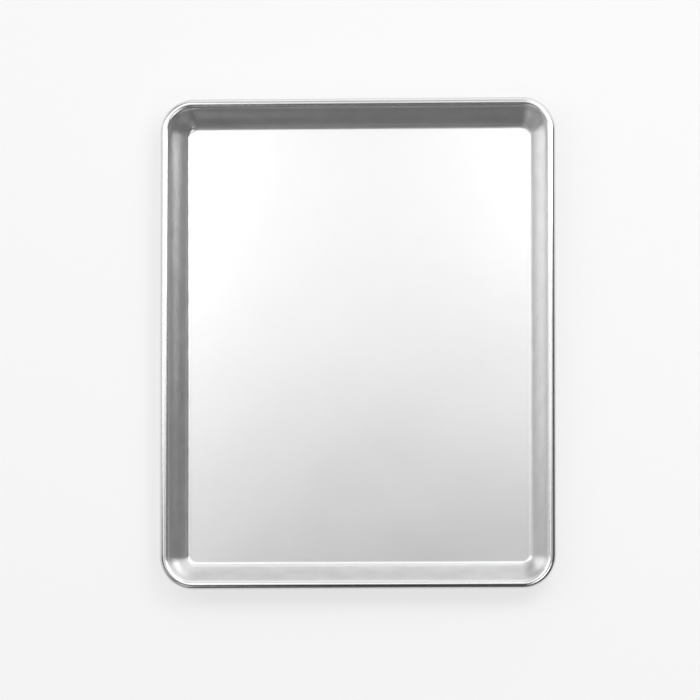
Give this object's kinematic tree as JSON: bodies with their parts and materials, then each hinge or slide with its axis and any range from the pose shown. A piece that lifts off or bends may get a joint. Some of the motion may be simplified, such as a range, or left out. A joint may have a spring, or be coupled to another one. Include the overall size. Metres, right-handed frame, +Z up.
{
  "type": "sheet pan",
  "caption": "Shallow rectangular baking pan in bare aluminium, with flared walls, rounded corners and a rim rolled round a steel wire.",
  "frame": {"origin": "centre of the pan's footprint, on the plane that it stands on", "axes": "+Z up out of the tray, +Y along the long side, +X along the short side"},
  "size_m": [0.305, 0.3788, 0.0254],
  "materials": {
    "pan_aluminium": "satin bare aluminium with a faint rolling grain",
    "wire_steel": "dull galvanised steel wire"
  },
  "bodies": {
    "root": {"pan": "pan_aluminium", "rim_wire": "wire_steel"}
  },
  "joints": []
}
